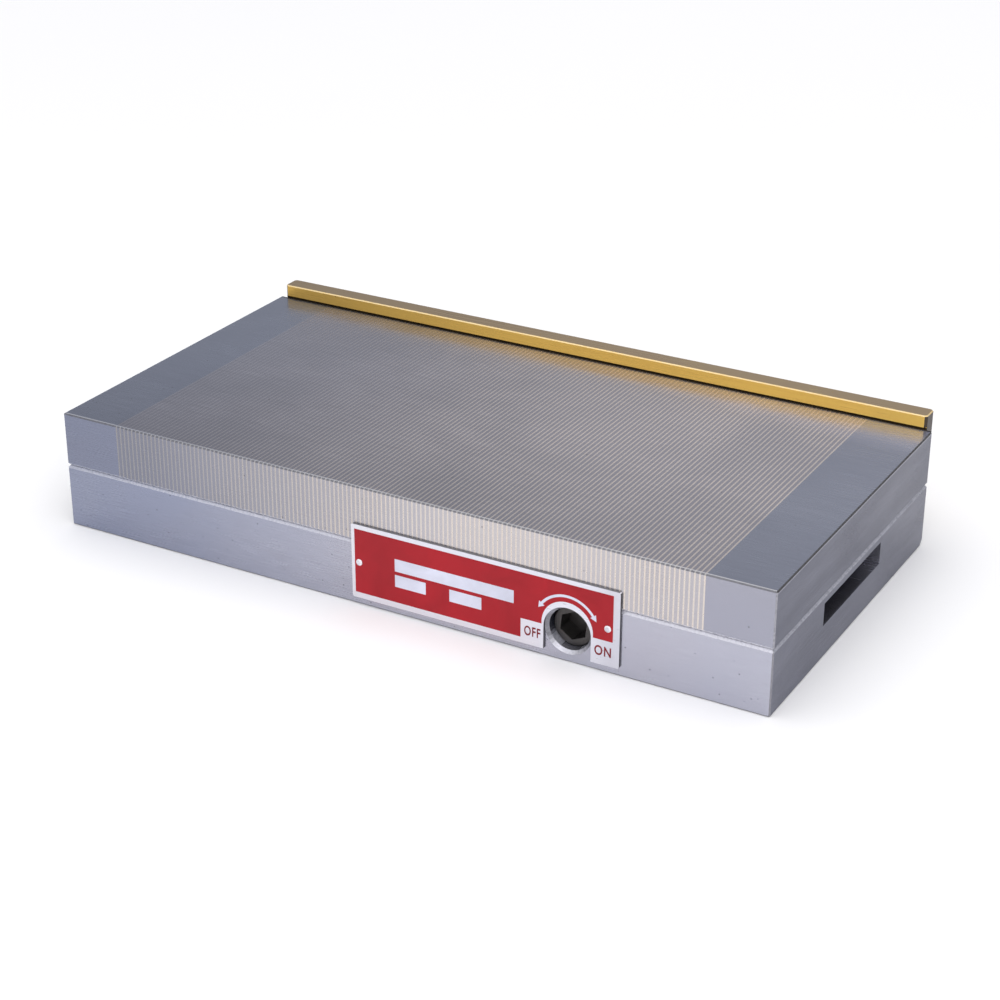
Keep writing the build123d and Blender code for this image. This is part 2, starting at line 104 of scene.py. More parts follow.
# A tone for the faces that look one way along a direction, or both ways. Its band is
# (direction, low, high, softness): it keeps the tone between two places along a direction.
Shade = namedtuple("Shade", "direction share colour band output", defaults=(None, "One way"))


# Settings that a user would change

class StageSettings(bpy.types.PropertyGroup):
    azimuth: bpy.props.FloatProperty(
        name="Azimuth", description="Camera's direction round the chuck",
        default=radians(30.175), subtype="ANGLE", unit="ROTATION")
    elevation: bpy.props.FloatProperty(
        name="Elevation", description="Camera's height above the horizon",
        default=radians(25.636), subtype="ANGLE", unit="ROTATION")
    roll: bpy.props.FloatProperty(
        name="Roll", description="Camera's lean to one side",
        default=radians(-0.2315), subtype="ANGLE", unit="ROTATION")
    distance: bpy.props.FloatProperty(
        name="Distance", description="From the aimed point to the camera",
        default=0.8755, subtype="DISTANCE", unit="LENGTH")
    aim: bpy.props.FloatVectorProperty(
        name="Aim", description="Point that the camera looks at",
        default=(-0.01062, 0.00051, 0.01204), subtype="TRANSLATION", unit="LENGTH")
    lens: bpy.props.FloatProperty(
        name="Lens", description="Focal length on a sensor 36 mm wide",
        default=79.84, subtype="DISTANCE_CAMERA", unit="CAMERA")
    shift: bpy.props.FloatProperty(
        name="Shift", description="Sideways shift of the picture, in picture widths",
        default=0.03)
    floor_colour: bpy.props.FloatVectorProperty(
        name="Floor colour", description="Colour of the floor",
        default=(0.96, 0.96, 0.97), subtype="COLOR", min=0.0, max=1.0)
    overhead_light: bpy.props.FloatProperty(
        name="Overhead light", description="Brightness of the room above the chuck",
        default=1.66, min=0.0)
    horizon_light: bpy.props.FloatProperty(
        name="Horizon light",
        description="Brightness of the room low down, which the table reflects",
        default=0.34, min=0.0)


class SteelSettings(bpy.types.PropertyGroup):
    housing_colour: bpy.props.FloatVectorProperty(
        name="Housing colour", description="Ground steel of the lower housing",
        default=(0.47, 0.465, 0.525), subtype="COLOR", min=0.0, max=1.0)
    block_colour: bpy.props.FloatVectorProperty(
        name="End block colour", description="Ground steel of the two solid ends",
        default=(0.365, 0.362, 0.415), subtype="COLOR", min=0.0, max=1.0)
    strip_colour: bpy.props.FloatVectorProperty(
        name="Steel strip colour", description="Steel laminations of the pole field",
        default=(0.475, 0.45, 0.465), subtype="COLOR", min=0.0, max=1.0)
    roughness: bpy.props.FloatProperty(
        name="Roughness", description="Roughness of the ground faces",
        default=0.28, subtype="FACTOR", min=0.0, max=1.0)
    # Painted shade: this share darkens the end faces and tints them blue
    end_shade: bpy.props.FloatProperty(
        name="End shade", description="How dark the milled ends are beside the ground faces",
        default=0.74, subtype="FACTOR", min=0.0, max=1.0)
    # Painted light: this share tones the work face, darker and bluer on steel, lighter on brass
    top_shade: bpy.props.FloatProperty(
        name="Top shade", description="Strength of the work face's own bluish tone",
        default=0.5, subtype="FACTOR", min=0.0, max=1.0)
    # Painted shade: how strongly the faces darken and turn bluish towards the left end
    left_shade: bpy.props.FloatProperty(
        name="Left end shade", description="Strength of the bluish film towards the left end",
        default=1.0, subtype="FACTOR", min=0.0, max=1.0)
    wear: bpy.props.FloatProperty(
        name="Scratches", description="Share of the ground faces that fine scratches cover",
        default=0.35, subtype="FACTOR", min=0.0, max=1.0)


class BrassSettings(bpy.types.PropertyGroup):
    strip_colour: bpy.props.FloatVectorProperty(
        name="Brass strip colour", description="Brass laminations of the pole field",
        default=(0.70, 0.62, 0.545), subtype="COLOR", min=0.0, max=1.0)
    rail_colour: bpy.props.FloatVectorProperty(
        name="Rail colour", description="Gold-coloured stop rail",
        default=(1.0, 0.59, 0.13), subtype="COLOR", min=0.0, max=1.0)
    bronze_colour: bpy.props.FloatVectorProperty(
        name="Bronze colour", description="Bushing, drive block and guide keys",
        default=(0.45, 0.27, 0.12), subtype="COLOR", min=0.0, max=1.0)


class PlateSettings(bpy.types.PropertyGroup):
    enamel_colour: bpy.props.FloatVectorProperty(
        name="Enamel colour", description="Red field of the nameplate",
        default=(0.37, 0.012, 0.020), subtype="COLOR", min=0.0, max=1.0)
    letter_colour: bpy.props.FloatVectorProperty(
        name="Letter colour", description="Dark red of ON and OFF",
        default=(0.20, 0.012, 0.02), subtype="COLOR", min=0.0, max=1.0)
    field_colour: bpy.props.FloatVectorProperty(
        name="Write-in colour", description="Blank fields of the nameplate",
        default=(0.66, 0.68, 0.80), subtype="COLOR", min=0.0, max=1.0)
    enamel_height: bpy.props.FloatProperty(
        name="Enamel height", description="How far the enamel stands proud of the plate",
        default=0.06 * MM, subtype="DISTANCE", unit="LENGTH", precision=5)
    letter_size: bpy.props.FloatProperty(
        name="Letter size", description="Height of the capitals of ON and OFF",
        default=3.9 * MM, subtype="DISTANCE", unit="LENGTH", precision=5)
    word_width: bpy.props.FloatProperty(
        name="Word width", description="Width of each of the words ON and OFF",
        default=6.5 * MM, subtype="DISTANCE", unit="LENGTH", precision=5)


# Shader nodes

def add_node(tree, kind, **values):
    """Add a node; values set its properties."""
    node = tree.nodes.new(kind)
    for name, value in values.items():
        setattr(node, name, value)
    return node


def feed(tree, socket, value):
    """Join another socket to a socket, or give it a plain value."""
    if isinstance(value, bpy.types.NodeSocket):
        tree.links.new(value, socket)
    else:
        socket.default_value = value


def arrange(tree):
    """Lay the nodes out in columns, each node left of all that it feeds."""
    columns = {node.name: 0 for node in tree.nodes}
    joints = [(joint.from_node.name, joint.to_node.name) for joint in tree.links]
    for _ in columns:
        for source, target in joints:
            columns[source] = max(columns[source], columns[target] + 1)
    filled = {}
    for node in tree.nodes:
        column = columns[node.name]
        row = filled.get(column, 0)
        filled[column] = row + 1
        node.location = (-column * NODE_COLUMN, -row * NODE_ROW)


def object_coordinates(tree):
    """Coordinates in metres, which are the chuck's own because its nodes sit at the origin."""
    return add_node(tree, "ShaderNodeTexCoord").outputs["Object"]


def flat_normal(tree):
    """Direction that the surface looks."""
    return add_node(tree, "ShaderNodeNewGeometry").outputs["True Normal"]


def noise(tree, vector, scale, detail, distortion=0.0):
    """Value of a noise texture, about 0 to 1."""
    node = add_node(tree, "ShaderNodeTexNoise")
    for label, value in (("Vector", vector), ("Scale", scale), ("Detail", detail),
                         ("Distortion", distortion)):
        feed(tree, node.inputs[label], value)
    return node.outputs["Fac"]


def ramp(tree, value, low, high, results=(0.0, 1.0), curve="LINEAR"):
    """Value stretched so that low and high become the two results, held between them."""
    node = add_node(tree, "ShaderNodeMapRange", interpolation_type=curve)
    labels = ("Value", "From Min", "From Max", "To Min", "To Max")
    for label, given in zip(labels, (value, low, high, *results)):
        feed(tree, node.inputs[label], given)
    return node.outputs["Result"]


def calculate(tree, operation, *values, clamp=False):
    """Sum or other result of sockets and numbers."""
    node = add_node(tree, "ShaderNodeMath", operation=operation, use_clamp=clamp)
    for socket, value in zip(node.inputs, values):
        feed(tree, socket, value)
    return node.outputs["Value"]


def combine(tree, operation, *vectors):
    """Result of a sum or other operation on vectors."""
    node = add_node(tree, "ShaderNodeVectorMath", operation=operation)
    for socket, vector in zip(node.inputs, vectors):
        feed(tree, socket, vector)
    return node.outputs["Value" if operation == "DOT_PRODUCT" else "Vector"]


def split(tree, vector):
    """X, Y and Z of a vector."""
    node = add_node(tree, "ShaderNodeSeparateXYZ")
    feed(tree, node.inputs["Vector"], vector)
    return node.outputs


def largest(tree, vector):
    """Largest of a vector's X, Y and Z."""
    parts = split(tree, vector)
    wider = calculate(tree, "MAXIMUM", parts["X"], parts["Y"])
    return calculate(tree, "MAXIMUM", wider, parts["Z"])


def mixed(tree, share, first, second, blend="MIX"):
    """Colour mix of two sockets or colours by a share that changes over the surface."""
    node = add_node(tree, "ShaderNodeMix", data_type="RGBA", blend_type=blend)
    sockets = {socket.identifier: socket for socket in (*node.inputs, *node.outputs)}
    for name, value in (("Factor_Float", share), ("A_Color", first), ("B_Color", second)):
        plain = isinstance(value, (bpy.types.NodeSocket, float))
        feed(tree, sockets[name], value if plain else (*value, 1.0))
    return sockets["Result_Color"]


def new_group(name, inputs, outputs):
    """Empty shader group with named inputs, each a number or a vector, and named outputs."""
    tree = bpy.data.node_groups.new(name, "ShaderNodeTree")
    for label, default in inputs.items():
        kind = "NodeSocketVector" if isinstance(default, tuple) else "NodeSocketFloat"
        socket = tree.interface.new_socket(label, in_out="INPUT", socket_type=kind)
        socket.default_value = default
    for label in outputs:
        tree.interface.new_socket(label, in_out="OUTPUT", socket_type="NodeSocketFloat")
    given = add_node(tree, "NodeGroupInput").outputs
    result = add_node(tree, "NodeGroupOutput").inputs
    return tree, given, result


# Shared effects

def make_grinding_group():
    """Fine parallel grinding marks: two noises stretched along the wheel's path."""
    tree, given, result = new_group(
        "Grinding marks", {"Broad bands": 0.5, "Along": (1.0, 1.0, 1.0)}, ["Marks", "Bands"])
    stretched = combine(tree, "MULTIPLY", object_coordinates(tree), given["Along"])
    feed(tree, result["Marks"], noise(tree, stretched, 1.0, 4.0))
    broad = calculate(tree, "SUBTRACT", noise(tree, stretched, 0.11, 2.0), 0.5)
    bands = calculate(tree, "MULTIPLY_ADD", broad, given["Broad bands"], 0.5)
    feed(tree, result["Bands"], bands)
    return tree


def make_scratch_group():
    """Sparse thin scratches in two directions, from turned and stretched coordinates."""
    tree, given, result = new_group(
        "Handling scratches", {"Amount": 0.5, "Size": 60.0}, ["Scratches"])
    place = object_coordinates(tree)
    layers = []
    for turn in ((0.4, 0.2, 0.5), (-0.7, 0.5, -0.3)):
        turned = add_node(tree, "ShaderNodeMapping")
        for label, value in (("Vector", place), ("Rotation", turn), ("Scale", (1.0, 16.0, 16.0))):
            feed(tree, turned.inputs[label], value)
        line = noise(tree, turned.outputs["Vector"], given["Size"], 1.0, 0.25)
        ridge = calculate(tree, "ABSOLUTE", calculate(tree, "SUBTRACT", line, 0.5))
        layers.append(ramp(tree, ridge, 0.006, 0.0))
    patches = ramp(tree, noise(tree, place, 35.0, 2.0), 0.52, 0.66)
    lines = calculate(tree, "MULTIPLY", calculate(tree, "MAXIMUM", *layers), patches)
    feed(tree, result["Scratches"], calculate(tree, "MULTIPLY", lines, given["Amount"]))
    return tree


def make_smudge_group():
    """Soft patches of oil and handling, and small dark pits."""
    tree, given, result = new_group(
        "Oil and pits", {"Patch size": 18.0, "Pit size": 420.0, "Pit share": 0.2},
        ["Patches", "Pits"])
    place = object_coordinates(tree)
    soft = noise(tree, place, given["Patch size"], 3.0, 0.6)
    feed(tree, result["Patches"], ramp(tree, soft, 0.34, 0.66))
    cells = add_node(tree, "ShaderNodeTexVoronoi")
    feed(tree, cells.inputs["Scale"], given["Pit size"])
    feed(tree, cells.inputs["Vector"], place)
    near = ramp(tree, cells.outputs["Distance"], 0.16, 0.06)
    colour = add_node(tree, "ShaderNodeSeparateColor")
    feed(tree, colour.inputs["Color"], cells.outputs["Color"])
    chosen = calculate(tree, "LESS_THAN", colour.outputs["Red"], given["Pit share"])
    feed(tree, result["Pits"], calculate(tree, "MULTIPLY", near, chosen))
    return tree


def make_edge_group():
    """Mask of the broken edges, where the surface turns away from its three main directions, with
    ragged chips of wear; the finishes lay painted highlight on it.
    """
    tree, given, result = new_group("Edge wear and highlight", {"Raggedness": 0.35}, ["Edge"])
    main_side = largest(tree, combine(tree, "ABSOLUTE", flat_normal(tree)))
    edge = ramp(tree, main_side, 0.93, 0.85)
    chips = ramp(tree, noise(tree, object_coordinates(tree), 900.0, 3.0), 0.35, 0.55)
    whole = calculate(tree, "SUBTRACT", 1.0, given["Raggedness"])
    share = calculate(tree, "MULTIPLY_ADD", chips, given["Raggedness"], whole)
    feed(tree, result["Edge"], calculate(tree, "MULTIPLY", edge, share))
    return tree


def make_side_group():
    """Masks of the faces that look along a direction, one way or both ways."""
    tree, given, result = new_group(
        "Faced sides", {"Share": 1.0, "Direction": RIGHT}, ["One way", "Both ways"])
    one = combine(tree, "DOT_PRODUCT", flat_normal(tree), given["Direction"])
    both = calculate(tree, "ABSOLUTE", one)
    for label, side in (("One way", one), ("Both ways", both)):
        mask = ramp(tree, side, 0.8, 0.95)
        feed(tree, result[label], calculate(tree, "MULTIPLY", mask, given["Share"]))
    return tree


def make_left_shade_group():
    """Painted shade that is strongest at the left end and fades unevenly to the right."""
    tree, given, result = new_group(
        "Left end shade", {"Share": 1.0, "Unshaded end": 0.05, "Darkest end": -0.16}, ["Film"])
    place = object_coordinates(tree)
    sway = calculate(tree, "SUBTRACT", noise(tree, place, 9.0, 2.0), 0.5)
    across = calculate(tree, "MULTIPLY_ADD", sway, 0.12, split(tree, place)["X"])
    fade = ramp(tree, across, given["Unshaded end"], given["Darkest end"], curve="SMOOTHSTEP")
    feed(tree, result["Film"], calculate(tree, "MULTIPLY", fade, given["Share"]))
    return tree


def make_band_group():
    """Mask of a band across the part, between two places along a direction."""
    tree, given, result = new_group(
        "Band", {"Low": 0.0, "High": FAR, "Softness": FINE, "Direction": UP}, ["Band"])
    along = combine(tree, "DOT_PRODUCT", object_coordinates(tree), given["Direction"])
    above = calculate(tree, "SUBTRACT", along, given["Low"])
    below = calculate(tree, "SUBTRACT", given["High"], along)
    inside = calculate(tree, "MINIMUM", above, below)
    feed(tree, result["Band"], calculate(tree, "DIVIDE", inside, given["Softness"], clamp=True))
    return tree


def make_smear_group():
    """Rubbed, cloudy smears that run one way."""
    tree, given, result = new_group(
        "Smears", {"Amount": 0.5, "Least": 0.4, "Along": (60.0, 18.0, 110.0)}, ["Smears"])
    stretched = combine(tree, "MULTIPLY", object_coordinates(tree), given["Along"])
    over = calculate(tree, "SUBTRACT", noise(tree, stretched, 1.0, 7.0, 0.3), given["Least"])
    over = calculate(tree, "MULTIPLY", over, 2.5, clamp=True)
    feed(tree, result["Smears"], calculate(tree, "MULTIPLY", over, given["Amount"]))
    return tree


def make_recess_group():
    """Mask for painted shade on the walls inside a recess that both ends have, fading towards the
    rear.
    """
    tree, given, result = new_group(
        "Recess", {"Fade start": 0.0, "Fade end": 1.0, "Middle": (0.0, 0.0, 0.0),
                   "Half size": (1.0, 1.0, 1.0)}, ["Inside"])
    place = split(tree, object_coordinates(tree))
    folded = add_node(tree, "ShaderNodeCombineXYZ")
    for axis, value in (("X", calculate(tree, "ABSOLUTE", place["X"])), ("Y", place["Y"]),
                        ("Z", place["Z"])):
        feed(tree, folded.inputs[axis], value)
    offset = combine(tree, "SUBTRACT", folded.outputs["Vector"], given["Middle"])
    outside = combine(tree, "SUBTRACT", combine(tree, "ABSOLUTE", offset), given["Half size"])
    inside = ramp(tree, largest(tree, outside), 0.2 * MM, 0.0)
    fade = ramp(tree, place["Y"], given["Fade end"], given["Fade start"])
    feed(tree, result["Inside"], calculate(tree, "MULTIPLY", inside, fade))
    return tree


GROUP_MAKERS = {
    "Grinding marks": make_grinding_group,
    "Handling scratches": make_scratch_group,
    "Oil and pits": make_smudge_group,
    "Edge wear and highlight": make_edge_group,
    "Faced sides": make_side_group,
    "Left end shade": make_left_shade_group,
    "Band": make_band_group,
    "Smears": make_smear_group,
    "Recess": make_recess_group,
}


def place_group(tree, name, **values):
    """A shared effect in a material, with its own values. Its first use makes it."""
    group = bpy.data.node_groups.get(name)
    if group is None:
        group = GROUP_MAKERS[name]()
        arrange(group)
    node = add_node(tree, "ShaderNodeGroup", node_tree=group)
    for label, value in values.items():
        node.inputs[label.replace("_", " ")].default_value = value
    return node.outputs


# Tones of faces, edges and lines, mostly painted shade and painted highlight

def fading(face, share, tone, towards, start, reach):
    """A tone that grows along a direction from a start, over a reach."""
    return Shade(face, share, tone, (towards, start, FAR, reach))


def on_ends(share, tone, band=None):
    """A tone for the faces at both ends."""
    return Shade(RIGHT, share, tone, band, "Both ways")


def corner_lines(tone):
    """The upright broken edges at the four corners, in painted shade."""
    return [Shade((side * SLANT, end * SLANT, 0.0), 0.8, tone)
            for side in (1, -1) for end in (1, -1)]


def table_lines(chamfer):
    """Fine lines round the table, all painted light: painted shade on the broken edges and where
    the work face meets the rail, painted highlight along the front rim and just below the top on
    the ends, and painted shade and reflection fading across the work face.
    """
    front, rear, top = TABLE_LOW.y, TABLE_HIGH.y, TABLE_HIGH.z
    at_rail = (BACK, rear - 0.9 * MM, rear + MM, FINE)
    front_highlight = (BACK, front + 0.45 * MM, front + 1.2 * MM, FINE)
    highlight_below_top = (UP, top - 1.1 * MM, top - 0.5 * MM, FINE)
    return [
        # Painted shade darkening the work face towards the front, painted reflection lightening it
        # towards the rear left and next to the rail
        fading(UP, 0.20, (0.02, 0.03, 0.06), FRONT, 0.0, 90.0 * MM),
        fading(UP, 0.13, (0.78, 0.83, 0.98), REAR_LEFT, 30.0 * MM, 120.0 * MM),
        fading(UP, 0.50, (0.72, 0.75, 1.0), BACK_AND_RIGHT, 62.0 * MM, 25.0 * MM),
        # Painted shade on the front, end and rear broken edges of the work face, and on the work
        # face where it meets the rail
        Shade((0.0, -SLANT, SLANT), 0.9, chamfer),
        *(Shade((side * SLANT, 0.0, SLANT), 0.92, PAINTED_SHADE) for side in (1, -1)),
        Shade((0.0, SLANT, SLANT), 0.95, PAINTED_SHADE),
        Shade(UP, 0.8, PAINTED_SHADE, at_rail),
        # Painted highlight along the front rim of the work face, and a lighter painted band on the
        # ends just below the top
        Shade(UP, 0.85, (0.95, 0.95, 1.0), front_highlight),
        on_ends(0.5, (0.40, 0.40, 0.45), highlight_below_top),
    ]


def tinted(colour, factor):
    """Colour made lighter or darker."""
    return tuple(min(1.0, channel * factor) for channel in colour)


def shade_faces(tree, surface, shades):
    """Lay Shades over a colour, in order."""
    for shade in shades:
        mask = place_group(tree, "Faced sides", Share=shade.share,
                           Direction=shade.direction)[shade.output]
        if shade.band is not None:
            direction, low, high, softness = shade.band
            band = place_group(tree, "Band", Low=low, High=high, Softness=softness,
                               Direction=direction)
            mask = calculate(tree, "MULTIPLY", mask, band["Band"])
        surface = mixed(tree, mask, surface, shade.colour)
    return surface


def mill_ends(tree, surface, smears, rubbed_tone):
    """Rubbed smears and milled streaks on the faces at both ends."""
    ends = place_group(tree, "Faced sides", Direction=RIGHT)["Both ways"]
    rubbed = place_group(tree, "Smears", Amount=smears)["Smears"]
    surface = mixed(tree, calculate(tree, "MULTIPLY", rubbed, ends), surface, rubbed_tone)
    cuts = place_group(tree, "Grinding marks", Along=END_CUTS)["Marks"]
    streaks = mixed(tree, cuts, MILLED_DARK, MILLED_LIGHT)
    return mixed(tree, ends, surface, streaks, blend="MULTIPLY")


def lay_left_shade(tree, surface, edge, left_shade, top_left_shade):
    """Painted shade towards the left end over a colour, weaker on the broken edges, the ends and
    the work face.
    """
    left_shaded = place_group(tree, "Left end shade", Share=left_shade)["Film"]
    up = place_group(tree, "Faced sides", Share=1.0 - top_left_shade, Direction=UP)["One way"]
    ends = place_group(tree, "Faced sides", Share=0.8, Direction=RIGHT)["Both ways"]
    bare = calculate(tree, "MAXIMUM", calculate(tree, "MULTIPLY_ADD", edge, 0.5, up), ends)
    covered = calculate(tree, "MULTIPLY", left_shaded, calculate(tree, "SUBTRACT", 1.0, bare))
    return mixed(tree, covered, surface, LEFT_SHADE_TINT, blend="MULTIPLY")


# Materials

def new_material(name, colour, roughness, metallic):
    """Material with a Principled shader; returns it, its tree and the shader."""
    material = bpy.data.materials.new(name)
    material.use_nodes = True
    material.diffuse_color = (*colour, 1.0)
    tree = material.node_tree
    shader = tree.nodes["Principled BSDF"]
    shader.inputs["Base Color"].default_value = (*colour, 1.0)
    shader.inputs["Roughness"].default_value = roughness
    shader.inputs["Metallic"].default_value = metallic
    return material, tree, shader


def set_relief(tree, shader, height, strength, depth):
    """Feed a height into the shader's normal through a bump."""
    bump = add_node(tree, "ShaderNodeBump")
    for label, value in (("Strength", strength), ("Distance", depth), ("Height", height)):
        feed(tree, bump.inputs[label], value)
    feed(tree, shader.inputs["Normal"], bump.outputs["Normal"])


def ground_metal(name, colour, roughness, along, metallic=0.85, scratches=0.35, pits=0.2,
                 edge_colour=None, edge_matte=0.4, relief=0.12, left_shade=0.0, top_left_shade=1.0,
                 smears=0.0, shades=(), lines=(), recess=None, contrast=0.17, specular=0.5):
    """Metal ground along one direction, with oil patches, scratches, pits and broken edges in
    painted highlight; its shades, lines, left-end shade and recess lay mostly painted shade and
    painted highlight over it.
    """
    material, tree, shader = new_material(name, colour, roughness, metallic)
    marks = place_group(tree, "Grinding marks", Along=along)
    scuffs = place_group(tree, "Handling scratches", Amount=scratches)["Scratches"]
    oil = place_group(tree, "Oil and pits", Pit_share=pits)
    edge = place_group(tree, "Edge wear and highlight")["Edge"]

    lined = mixed(tree, marks["Marks"], tinted(colour, 1.0 - contrast),
                  tinted(colour, 1.0 + contrast))
    banded = mixed(tree, marks["Bands"], tinted(colour, 0.86), tinted(colour, 1.12))
    surface = mixed(tree, 0.5, lined, banded)
    cooler = (colour[0] * 0.90, colour[1] * 0.95, min(1.0, colour[2] * 1.03))
    surface = mixed(tree, calculate(tree, "MULTIPLY", oil["Patches"], 0.45), surface, cooler)
    surface = shade_faces(tree, surface, shades)
    if smears > 0.0:
        surface = mill_ends(tree, surface, smears, tinted(colour, 0.95))
    surface = mixed(tree, scuffs, surface, tinted(colour, 1.5))
    surface = mixed(tree, oil["Pits"], surface, tinted(colour, 0.35))
    # Painted highlight on the broken edges, mixed with ragged chips of wear
    surface = mixed(tree, edge, surface, edge_colour or tinted(colour, 1.25))
    surface = shade_faces(tree, surface, lines)
    # Painted shade, darker and bluer towards the left end
    if left_shade > 0.0:
        surface = lay_left_shade(tree, surface, edge, left_shade, top_left_shade)
    # Painted shade inside the recess, fading towards its rear
    if recess is not None:
        inside = place_group(tree, "Recess", **recess)["Inside"]
        surface = mixed(tree, inside, surface, SLOT_SHADE)
    feed(tree, shader.inputs["Base Color"], surface)

    shader.inputs["Specular IOR Level"].default_value = specular
    matte = calculate(tree, "MULTIPLY_ADD", edge, -edge_matte, metallic)
    feed(tree, shader.inputs["Metallic"], matte)
    gloss = calculate(tree, "MULTIPLY_ADD", marks["Marks"], 0.22, roughness - 0.11)
    oiled = calculate(tree, "MULTIPLY", oil["Patches"], 0.08)
    feed(tree, shader.inputs["Roughness"], calculate(tree, "SUBTRACT", gloss, oiled))
    dents = calculate(tree, "MAXIMUM", scuffs, oil["Pits"])
    height = calculate(tree, "SUBTRACT", marks["Marks"], dents)
    set_relief(tree, shader, height, relief, 0.06 * MM)
    arrange(tree)
    return material


def turned_metal(name, colour, roughness, metallic=0.9):
    """Metal turned or milled in rings across Y, for the shaft, bushings, screws and pins."""
    material, tree, shader = new_material(name, colour, roughness, metallic)
    marks = place_group(tree, "Grinding marks", Along=TURNED_RINGS)["Marks"]
    lines = place_group(tree, "Handling scratches", Amount=0.5, Size=160.0)["Scratches"]
    edge = place_group(tree, "Edge wear and highlight", Raggedness=0.6)["Edge"]
    surface = mixed(tree, marks, tinted(colour, 0.65), tinted(colour, 1.35))
    surface = mixed(tree, lines, surface, tinted(colour, 2.0))
    worn = calculate(tree, "MULTIPLY", edge, 0.35)
    feed(tree, shader.inputs["Base Color"], mixed(tree, worn, surface, tinted(colour, 1.8)))
    gloss = calculate(tree, "MULTIPLY_ADD", marks, 0.25, roughness - 0.12)
    feed(tree, shader.inputs["Roughness"], gloss)
    set_relief(tree, shader, marks, 0.25, 0.08 * MM)
    arrange(tree)
    return material


def matte_rubber(name, colour):
    """Dull black rubber with a fine grain and a little dust."""
    material, tree, shader = new_material(name, colour, 0.75, 0.0)
    dust = place_group(tree, "Oil and pits", Patch_size=240.0, Pit_share=0.0)["Patches"]
    feed(tree, shader.inputs["Base Color"], mixed(tree, dust, colour, tinted(colour, 2.2)))
    set_relief(tree, shader, dust, 0.3, 0.1 * MM)
    arrange(tree)
    return material


def enamel(name, colour, roughness):
    """Baked enamel: a slightly uneven coloured coat with fine dust specks and rubbed spots."""
    material, tree, shader = new_material(name, colour, roughness, 0.0)
    oil = place_group(tree, "Oil and pits", Patch_size=70.0, Pit_size=900.0, Pit_share=0.08)
    lines = place_group(tree, "Handling scratches", Amount=0.25, Size=120.0)["Scratches"]
    surface = mixed(tree, oil["Patches"], tinted(colour, 0.90), tinted(colour, 1.10))
    surface = mixed(tree, lines, surface, tinted(colour, 1.6))
    surface = mixed(tree, oil["Pits"], surface, tinted(colour, 0.7))
    feed(tree, shader.inputs["Base Color"], surface)
    gloss = ramp(tree, oil["Patches"], 0.0, 1.0, results=(roughness - 0.06, roughness + 0.08))
    feed(tree, shader.inputs["Roughness"], gloss)
    shader.inputs["Specular IOR Level"].default_value = 0.2
    set_relief(tree, shader, oil["Patches"], 0.15, 0.08 * MM)
    arrange(tree)
    return material


def dress(node, material):
    """Give a CAD node its finish, in every one of its material slots."""
    for slot in NODES[node].material_slots:
        slot.material = material


def add_piece(name, shape, material):
    """A new piece from a mesh, with its one finish."""
    shape.name = name
    shape.materials.clear()
    shape.materials.append(material)
    piece = bpy.data.objects.new(name, shape)
    bpy.context.scene.collection.objects.link(piece)
    return piece


# Nameplate shapes, drawn flat as (x, z) outlines in metres

def rectangle(left, right, bottom, top):
    """Corners of an upright rectangle."""
    return [(left, bottom), (right, bottom), (right, top), (left, top)]


def arc(centre, radius, start, end, count):
    """Points of an arc from start to end, in radians."""
    step = (end - start) / (count - 1)
    return [
        (centre[0] + radius * cos(start + index * step),
         centre[1] + radius * sin(start + index * step))
        for index in range(count)
    ]


def flat_piece(name, outlines, depth, low, material):
    """Thin piece on the plate's face: filled outlines with their holes, as a mesh."""
    curve = bpy.data.curves.new(name, "CURVE")
    curve.dimensions = "2D"
    curve.fill_mode = "BOTH"
    curve.extrude = depth / 2
    for outline in outlines:
        spline = curve.splines.new("POLY")
        spline.points.add(len(outline) - 1)
        for point, (x, z) in zip(spline.points, outline):
            point.co = (x, z, 0.0, 1.0)
        spline.use_cyclic_u = True
    return mesh_on_plate(name, curve, depth, low, material)


def mesh_on_plate(name, curve, depth, low, material):
    """Turn a flat curve or text upright onto the plate's face and make it a mesh."""
    source = bpy.data.objects.new(name + "_outline", curve)
    bpy.context.scene.collection.objects.link(source)
    bpy.context.view_layer.update()
    shape = bpy.data.meshes.new_from_object(
        source.evaluated_get(bpy.context.evaluated_depsgraph_get()))
    bpy.data.objects.remove(source)
    bpy.data.curves.remove(curve)
    upright = Euler((pi / 2, 0.0, 0.0)).to_matrix().to_4x4()
    shape.transform(Matrix.Translation((0.0, low - depth / 2, 0.0)) @ upright)
    piece = add_piece(name, shape, material)
    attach(piece, "housing")
    return piece


def write_word(name, word, centre, width, height, depth, low, material):
    """A word in thin capitals on the plate, fitted into a width and a height about a point."""
    curve = bpy.data.curves.new(name, "FONT")
    curve.body = word
    curve.extrude = depth / 2
    curve.space_character = 1.15
    curve.offset = 0.018
    piece = mesh_on_plate(name, curve, depth, low, material)
    points = [vertex.co for vertex in piece.data.vertices]
    left, right = min(p.x for p in points), max(p.x for p in points)
    bottom, top = min(p.z for p in points), max(p.z for p in points)
    fit = Matrix.Diagonal((width / (right - left), 1.0, height / (top - bottom), 1.0))
    middle = Vector(((left + right) / 2, 0.0, (bottom + top) / 2))
    place = Matrix.Translation((centre[0], 0.0, centre[1]))
    piece.data.transform(place @ fit @ Matrix.Translation(-middle))
    return piece


# Operators

